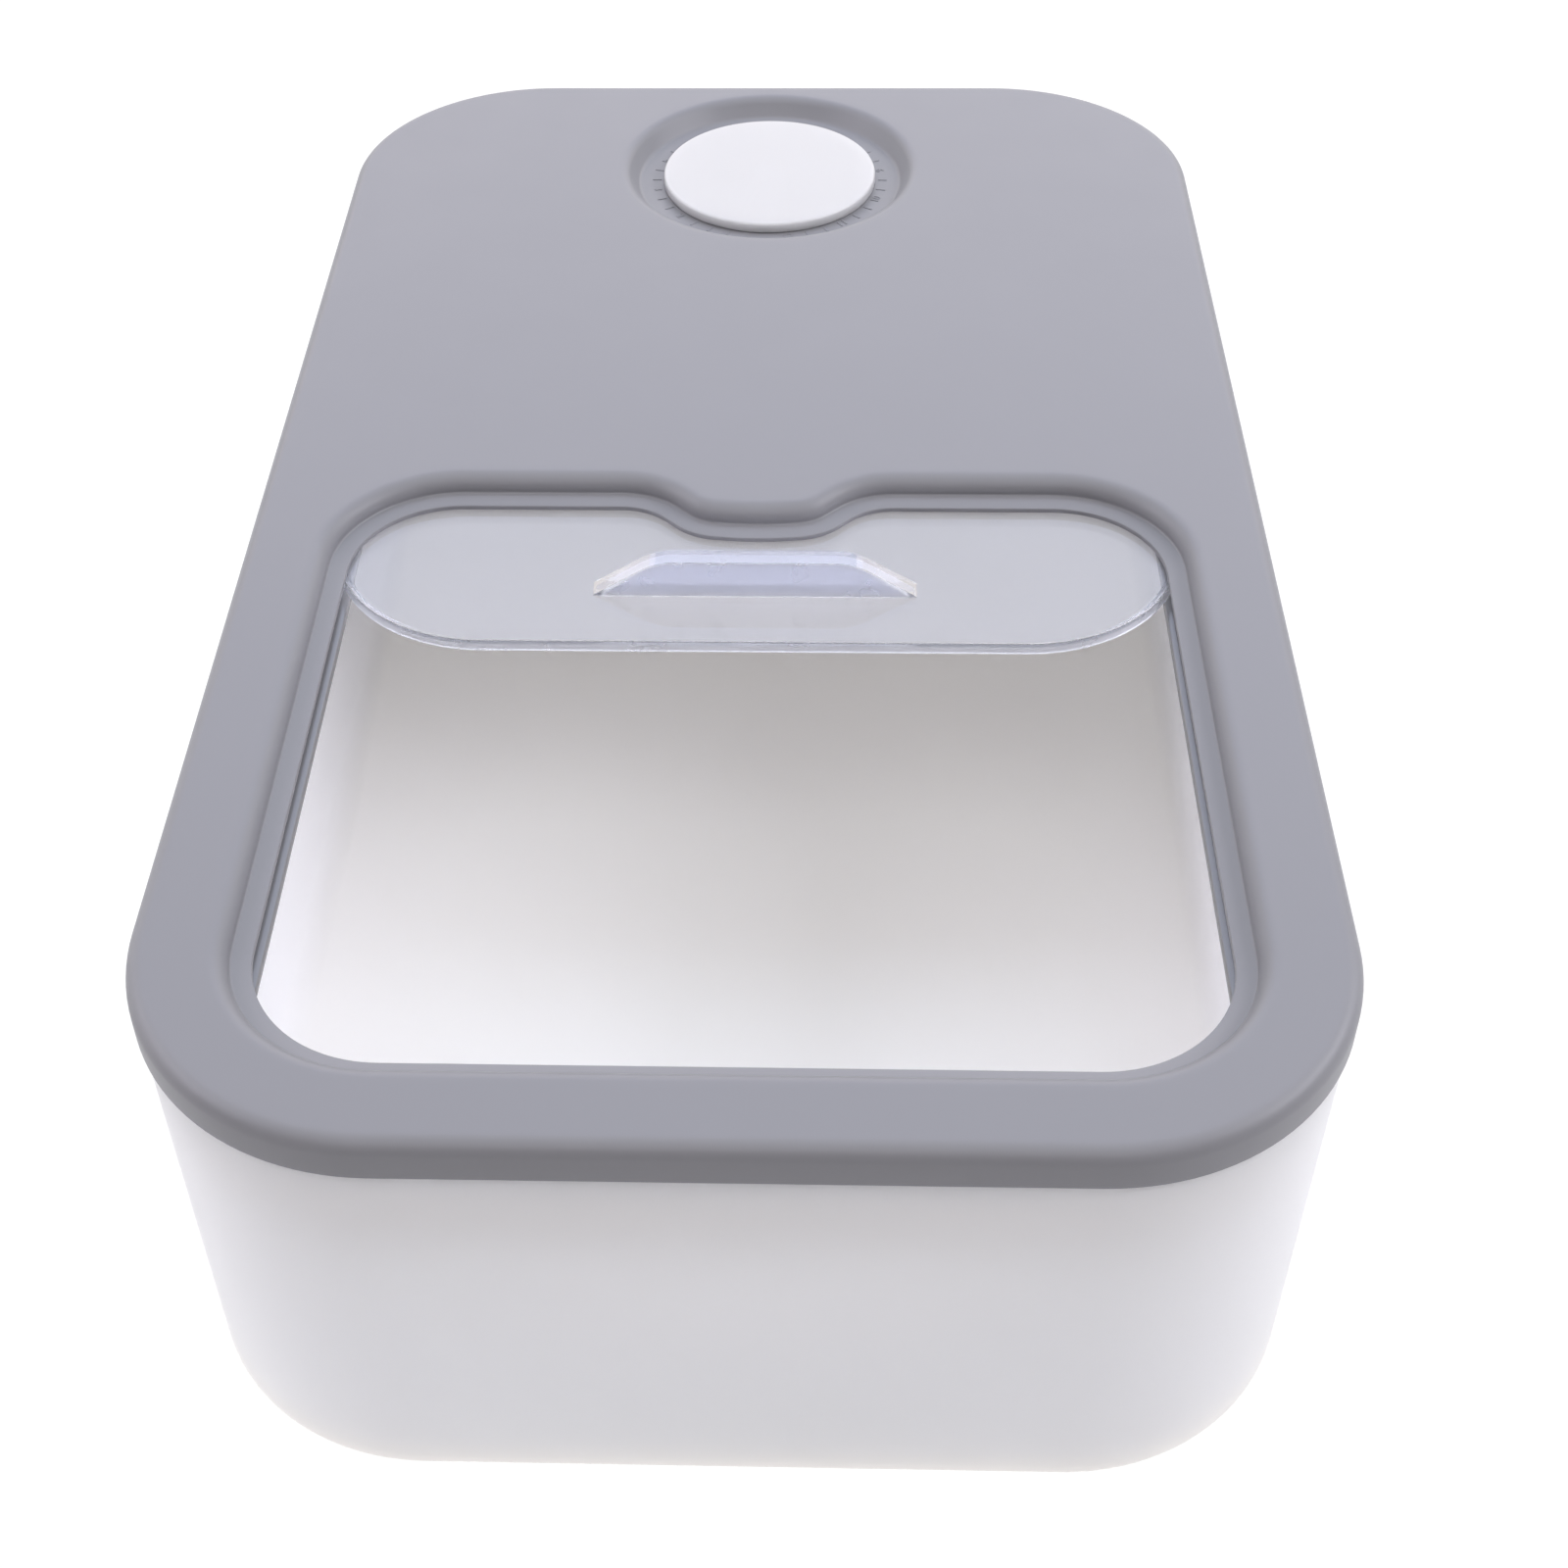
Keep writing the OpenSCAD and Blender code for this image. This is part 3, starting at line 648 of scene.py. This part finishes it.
def bar_outline(inset, foot):
    """Half of the arch, from its foot to the end of its flat, and then its mirror image."""
    ramp = math.radians(BAR_RAMP_ANGLE)
    centre = Vector((BAR_TOP_L / 2, grip_high.z - BAR_SHOULDER_R))
    radius = BAR_SHOULDER_R - inset
    bend = [
        centre + radius * lean_right(ramp * k / BAR_BEND_STEPS)
        for k in range(BAR_BEND_STEPS + 1)
    ]
    side_x = grip_high.x - inset
    drop = (side_x - bend[-1].x) * math.tan(ramp)
    tip = Vector((side_x, max(bend[-1].y - drop, foot + BAR_TIP_H)))
    right = [Vector((side_x, foot)), tip, *reversed(bend)]
    return right + [Vector((-x, z)) for x, z in reversed(right)]


def add_arch(bm, inset, foot):
    """Skin of the arch. Gives its open foot."""
    outline = bar_outline(inset, foot)
    front, back = (
        [bm.verts.new(Vector((x, y, z)) * MM) for x, z in outline]
        for y in (grip_low.y + inset, grip_high.y - inset)
    )
    bm.faces.new(front)
    bm.faces.new(back)
    for i in range(len(outline) - 1):
        bm.faces.new((front[i], front[i + 1], back[i + 1], back[i]))
    return [front[0], front[-1], back[-1], back[0]]


def make_panel():
    bm = bmesh.new()
    top, foot = panel_high.z, panel_low.z
    sheet_under_z = foot + PANEL_POCKET
    length = panel_high.y - panel_low.y
    path = rounded_box(2 * panel_high.x, length, PANEL_FRONT_R, PANEL_REAR_R)
    start = (panel_high.x, panel_low.y + PANEL_FRONT_R)
    strip_in = PANEL_LIP_W + PANEL_STRIP
    section = rounded([
        (-strip_in, top, 0), (0, top, PANEL_EDGE_R), (0, foot, SOFT_R),
        (-PANEL_LIP_W, foot, EASED_R), (-PANEL_LIP_W, sheet_under_z, EASED_R),
        (-strip_in, sheet_under_z, 0),
    ], PANEL_EDGE_STEP)
    rings = sweep(bm, path, start, section)
    fill(bm, rings[0], add_arch(bm, 0, top))
    fill(bm, rings[-1], add_arch(bm, BAR_WALL_T, sheet_under_z))
    sheet = finish_piece(
        bm, "window_sheet", "window", clear_plastic,
        ["window_panel", "finger_bar"], bevel=PANEL_BEVEL,
    )
    sheet.data.materials.append(clear_edge)
    for face in sheet.data.polygons:
        face.material_index = int(abs(face.normal.z) < STEEP)
    return sheet


# Dial

DISC_GAP = 0.2
DISC_EDGE_R = 0.6
DISC_LEAN = 0.1
DISC_RIM_T = 1.4
DISC_T = 1.7
DISC_FOOT_R = 0.15
DISC_BAND = 3.0
DISC_SIDES = 160


def make_dial():
    bm = bmesh.new()
    disc_z = well_z + DISC_GAP
    disc_under_z = dial_high.z - DISC_T
    section = rounded([
        (dial_r - DISC_BAND, dial_high.z, 0), (dial_r - DISC_LEAN, dial_high.z, DISC_EDGE_R),
        (dial_r, disc_z, DISC_FOOT_R), (dial_r - DISC_RIM_T, disc_z, CRISP_R),
        (dial_r - DISC_RIM_T, disc_under_z, EASED_R), (SPINDLE_R, disc_under_z, EASED_R),
        (SPINDLE_R, dial_low.z, EASED_R), (SCREW_HOLE_R, dial_low.z, 0),
        (SCREW_HOLE_R, dial_low.z + SCREW_HOLE_L, 0),
    ])
    rings = revolve(bm, section, (0, dial_y), DISC_SIDES)
    fill(bm, rings[0])
    fill(bm, rings[-1])
    return finish_piece(bm, "dial_cap", "dial", dial_plastic, ["dial_disc"])


# Seal and rails

SEAL_GAP = 0.1
SEAL_EDGE_R = 0.5
SEAL_EDGE_STEP = 30.0


def make_seal():
    bm = bmesh.new()
    inner, outer = -SEAL_RIB_IN + SEAL_GAP, -SKIRT_T - SEAL_GAP
    section = rounded([
        (outer, seal_high.z, EASED_R), (inner, seal_high.z, EASED_R),
        (inner, seal_low.z, SEAL_EDGE_R), (outer, seal_low.z, SEAL_EDGE_R),
    ], SEAL_EDGE_STEP)
    sweep(bm, LID_PATH, LID_START, section, closed=True)
    return finish_piece(bm, "seal_ring", "lid", seal_rubber, ["lid_seal"])


RAIL_T = 1.8
RAIL_EDGE_IN = 0.3
RAIL_EDGE_R = 0.5
RAIL_FACE_H = 2.2
RAIL_EDGE_GAP = 0.6
RAIL_STOP_L = 2.7
GUIDE_GAP = 0.4
STOP_INSET = 0.02
RAIL_BEVEL = 0.15
RAIL_CORNER_STEPS = 8
# Share of a radius by which the middle of its arc lies inside the corner
ARC_MIDDLE = 0.3


def make_rail(side, name, node):
    bm = bmesh.new()
    plate_z = rail_low.z + RAIL_FACE_H
    face_x = rail_low.x + RAIL_EDGE_IN
    edge_in = RAIL_EDGE_R * ARC_MIDDLE
    guide_x = panel_high.x + GUIDE_GAP
    edge_x = half_w - lid_room_in - RAIL_EDGE_GAP
    corner = LID_CORNER_R - lid_room_in - RAIL_EDGE_GAP
    corner_x = half_w - LID_CORNER_R
    corner_y = LID_CORNER_R - half_l
    plate_x = guide_x + RAIL_T
    spread = [
        plate_x + (edge_x - plate_x) * k / RAIL_CORNER_STEPS for k in range(RAIL_CORNER_STEPS + 1)
    ]
    outline = [
        (face_x, plate_z - RAIL_T), *[(x, plate_z - RAIL_T) for x in spread],
        *[(x, plate_z) for x in reversed(spread)], (plate_x, rail_high.z),
        (guide_x, rail_high.z), (guide_x, plate_z), (face_x + RAIL_EDGE_R, plate_z),
        (face_x + edge_in, plate_z - edge_in), (face_x, plate_z - RAIL_EDGE_R),
    ]

    def front_y(x):
        return corner_y - math.sqrt(max(0.0, corner ** 2 - (x - corner_x) ** 2))

    rings = add_rings(bm, [
        [(side * x, front_y(x), z) for x, z in outline],
        [(side * x, rail_high.y, z) for x, z in outline],
    ])
    fill(bm, rings[0])
    fill(bm, rings[1])
    stop_y = rail_high.y - RAIL_STOP_L
    near, far = sorted((side * rail_low.x, side * plate_x))
    low = (near + STOP_INSET, stop_y, plate_z - RIB_ROOT)
    add_box(bm, low, (far - STOP_INSET, rail_high.y - STOP_INSET, panel_high.z))
    return finish_piece(bm, name, "lid", rail_plastic, [node], bevel=RAIL_BEVEL)


STEEL_NODES = (
    "rail_screws_left", "rail_screws_right", "dial_wave_washer", "dial_washer", "dial_screw",
)


def dress_node(node, material):
    """Gives a CAD node that keeps its own shape a material."""
    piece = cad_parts[node]
    piece.data.materials.clear()
    piece.data.materials.append(material)


make_tub()
make_lid()
make_panel()
make_dial()
make_seal()
make_rail(-1, "rail_left", "guide_rail_left")
make_rail(1, "rail_right", "guide_rail_right")
for node in STEEL_NODES:
    dress_node(node, steel)
dress_node("dial_o_ring", seal_rubber)


# Floor, light and camera

# Below this diffuse depth, no matt surface has scattered a ray
UNSCATTERED_DEPTH = 0.5


def seen_by_eye(nodes, links):
    """1 for the rays that reach the eye straight, off a mirror or through glass, and 0 for
    those that light a surface."""
    rays = nodes.new("ShaderNodeLightPath")
    seen = rays.outputs["Is Camera Ray"]
    for ray in ("Is Glossy Ray", "Is Transmission Ray"):
        either = nodes.new("ShaderNodeMath")
        either.operation = "MAXIMUM"
        links.new(seen, either.inputs[0])
        links.new(rays.outputs[ray], either.inputs[1])
        seen = either.outputs[0]
    unscattered = nodes.new("ShaderNodeMath")
    unscattered.operation = "LESS_THAN"
    links.new(rays.outputs["Diffuse Depth"], unscattered.inputs[0])
    unscattered.inputs[1].default_value = UNSCATTERED_DEPTH
    both = nodes.new("ShaderNodeMath")
    both.operation = "MULTIPLY"
    links.new(seen, both.inputs[0])
    links.new(unscattered.outputs[0], both.inputs[1])
    return both.outputs[0]


def stage_sheet(name, bm, material, z=0.0):
    mesh = bpy.data.meshes.new(name)
    bm.to_mesh(mesh)
    bm.free()
    mesh.materials.append(material)
    sheet = bpy.data.objects.new(name, mesh)
    bpy.context.scene.collection.objects.link(sheet)
    sheet.location.z = z * MM
    return sheet


# Radiance of each light, as red, green and blue
REAR = (1.71, 1.44, 1.17)
HIGH = (2.97, 3.29, 3.71)
LEFT = (0.81, 0.81, 0.81)
FRONT = (1.76, 1.66, 1.66)
HIGH_LEFT = (3.71, 3.50, 3.92)
HIGH_RIGHT = (5.94, 5.83, 6.36)
OVER = (2.0, 2.1, 2.0)
UNDER = (1.02, 0.97, 0.94)
SKY = (1.3, 1.45, 1.9)

# The floor, the glowing sheet below the bin and the card behind it. The floor's side and the card
# are in metres, and the rest is in millimetres.
FLOOR_SIDE = 6.0
FLOOR_Z = -0.2
FLOOR_COLOUR = (0.9, 0.9, 0.9, 1.0)
FLOOR_GLOW = 1.1
FLOOR_GLOW_SHARE = 0.8
TABLE_Z = -0.1
TABLE_MARGIN = 14.0
SKY_PLACE = (0.0, 1.3, 1.2)
SKY_W = 2.0
SKY_H = 1.6


def make_floor():
    bm = bmesh.new()
    bmesh.ops.create_grid(bm, x_segments=1, y_segments=1, size=FLOOR_SIDE / 2)
    shader = Shader("floor_white")
    matt = shader.add("ShaderNodeBsdfDiffuse")
    matt.inputs["Color"].default_value = FLOOR_COLOUR
    share = shader.add("ShaderNodeMath", operation="MULTIPLY")
    share.inputs[1].default_value = FLOOR_GLOW_SHARE
    shader.link(seen_by_eye(shader.tree.nodes, shader.tree.links), share.inputs[0])
    white = shader.add("ShaderNodeEmission", Strength=FLOOR_GLOW)
    mix = shader.add("ShaderNodeMixShader")
    shader.link(share.outputs["Value"], mix.inputs["Fac"])
    shader.link(matt.outputs["BSDF"], mix.inputs[1])
    shader.link(white.outputs["Emission"], mix.inputs[2])
    shader.link(mix.outputs["Shader"], shader.output.inputs["Surface"])
    stage_sheet("floor", bm, shader.material, FLOOR_Z)


def glowing(name, radiance):
    shader = Shader(name)
    glow = shader.add("ShaderNodeEmission", Color=(*radiance, 1.0), Strength=1.0)
    shader.link(glow.outputs["Emission"], shader.output.inputs["Surface"])
    return shader.material


def make_light_table():
    """A glowing sheet under the bin and a little beyond it, which lights its milky foot."""
    bm = bmesh.new()
    outline = trace(LID_PATH, TABLE_MARGIN - foot_in, LID_START)
    fill(bm, [bm.verts.new(Vector((*point, 0)) * MM) for point in outline])
    table = stage_sheet("light_table", bm, glowing("light_table", UNDER), TABLE_Z)
    table.visible_camera = False
    table.visible_glossy = False
    table.visible_transmission = False


def make_sky_card():
    """A pale card behind the bin that only glossy surfaces mirror."""
    bm = bmesh.new()
    bmesh.ops.create_grid(bm, x_segments=1, y_segments=1, size=0.5)
    card = stage_sheet("sky_card", bm, glowing("sky_card", SKY))
    card.scale = (SKY_W, SKY_H, 1.0)
    card.location = SKY_PLACE
    card.rotation_euler = (-Vector(SKY_PLACE)).to_track_quat("Z", "Y").to_euler()
    card.visible_camera = False
    card.visible_diffuse = False
    card.visible_transmission = False
    card.visible_shadow = False


def make_world():
    world = bpy.data.worlds.new("studio")
    bpy.context.scene.world = world
    world.use_nodes = True
    tree = world.node_tree
    tree.nodes.clear()
    light = tree.nodes.new("ShaderNodeBackground")
    light.inputs["Strength"].default_value = 0.0
    white = tree.nodes.new("ShaderNodeBackground")
    white.inputs["Color"].default_value = (1.0, 1.0, 1.0, 1.0)
    white.inputs["Strength"].default_value = 1.0
    mix = tree.nodes.new("ShaderNodeMixShader")
    output = tree.nodes.new("ShaderNodeOutputWorld")
    tree.links.new(seen_by_eye(tree.nodes, tree.links), mix.inputs["Fac"])
    tree.links.new(light.outputs["Background"], mix.inputs[1])
    tree.links.new(white.outputs["Background"], mix.inputs[2])
    tree.links.new(mix.outputs["Shader"], output.inputs["Surface"])


# Where the lamps aim. These places and the lamps' places and sizes are in metres.
BIN_MIDDLE = (0.0, 0.0, 0.08)
MOUTH_MIDDLE = (0.0, -0.1, 0.0)


def softbox(name, place, aim, width, height, radiance):
    """Area lamp whose face has the given radiance."""
    lamp = bpy.data.lights.new(name, "AREA")
    lamp.shape = "RECTANGLE"
    lamp.size = width
    lamp.size_y = height
    lamp.energy = math.pi * width * height
    lamp.color = radiance
    holder = bpy.data.objects.new(name, lamp)
    bpy.context.scene.collection.objects.link(holder)
    holder.location = place
    holder.rotation_euler = (Vector(aim) - Vector(place)).to_track_quat("-Z", "Y").to_euler()
    holder.visible_camera = False
    # The clear panel lets shadow rays through, so a lamp seen through it would count twice
    holder.visible_transmission = False
    return holder


def make_lights():
    softbox("rear_softbox", (0.0, 1.4, 0.65), BIN_MIDDLE, width=2.4, height=0.5, radiance=REAR)
    high = softbox("high_softbox", (0.0, 0.8, 1.3), BIN_MIDDLE, width=1.6, height=0.5, radiance=HIGH)
    # Its mirror image would whiten the closed window
    high.visible_glossy = False
    softbox("over_softbox", (0.0, -0.15, 1.1), MOUTH_MIDDLE, width=0.5, height=0.4, radiance=OVER)
    softbox("left_softbox", (-1.1, 0.3, 0.3), BIN_MIDDLE, width=1.3, height=0.6, radiance=LEFT)
    softbox("front_softbox", (0.0, -0.9, 1.0), BIN_MIDDLE, width=1.0, height=0.6, radiance=FRONT)
    softbox("high_left_softbox", (-0.95, 0.0, 0.8), BIN_MIDDLE, width=1.0, height=0.5, radiance=HIGH_LEFT)
    softbox("high_right_softbox", (0.95, 0.0, 0.8), BIN_MIDDLE, width=1.0, height=0.5, radiance=HIGH_RIGHT)


CAMERA_PLACE = Vector((11.748, -426.923, 406.55)) * MM
CAMERA_PITCH = 42.244
CAMERA_YAW = -2.318
CAMERA_ROLL = -1.068
FOCAL_PIXELS = 2402.3
PRINCIPAL_POINT = (753.13, 763.35)
SENSOR_W = 36.0
CLIP_START = 0.01


def make_camera():
    pitch, yaw, roll = (math.radians(a) for a in (CAMERA_PITCH, CAMERA_YAW, CAMERA_ROLL))
    look = Vector((
        math.sin(yaw) * math.cos(pitch), math.cos(yaw) * math.cos(pitch), -math.sin(pitch)
    ))
    level = Vector((math.cos(yaw), -math.sin(yaw), 0))
    rise = level.cross(look)
    right = math.cos(roll) * level + math.sin(roll) * rise
    up = right.cross(look)
    data = bpy.data.cameras.new("camera")
    data.sensor_width = SENSOR_W
    data.lens = FOCAL_PIXELS / PHOTO_SIDE * SENSOR_W
    data.shift_x = 0.5 - PRINCIPAL_POINT[0] / PHOTO_SIDE
    data.shift_y = PRINCIPAL_POINT[1] / PHOTO_SIDE - 0.5
    data.clip_start = CLIP_START
    camera = bpy.data.objects.new("camera", data)
    bpy.context.scene.collection.objects.link(camera)
    turn = Matrix((right, up, -look)).transposed().to_4x4()
    camera.matrix_world = Matrix.Translation(CAMERA_PLACE) @ turn
    bpy.context.scene.camera = camera


make_camera()
make_floor()
make_light_table()
make_sky_card()
make_world()
make_lights()
bpy.context.scene.view_settings.view_transform = "Standard"
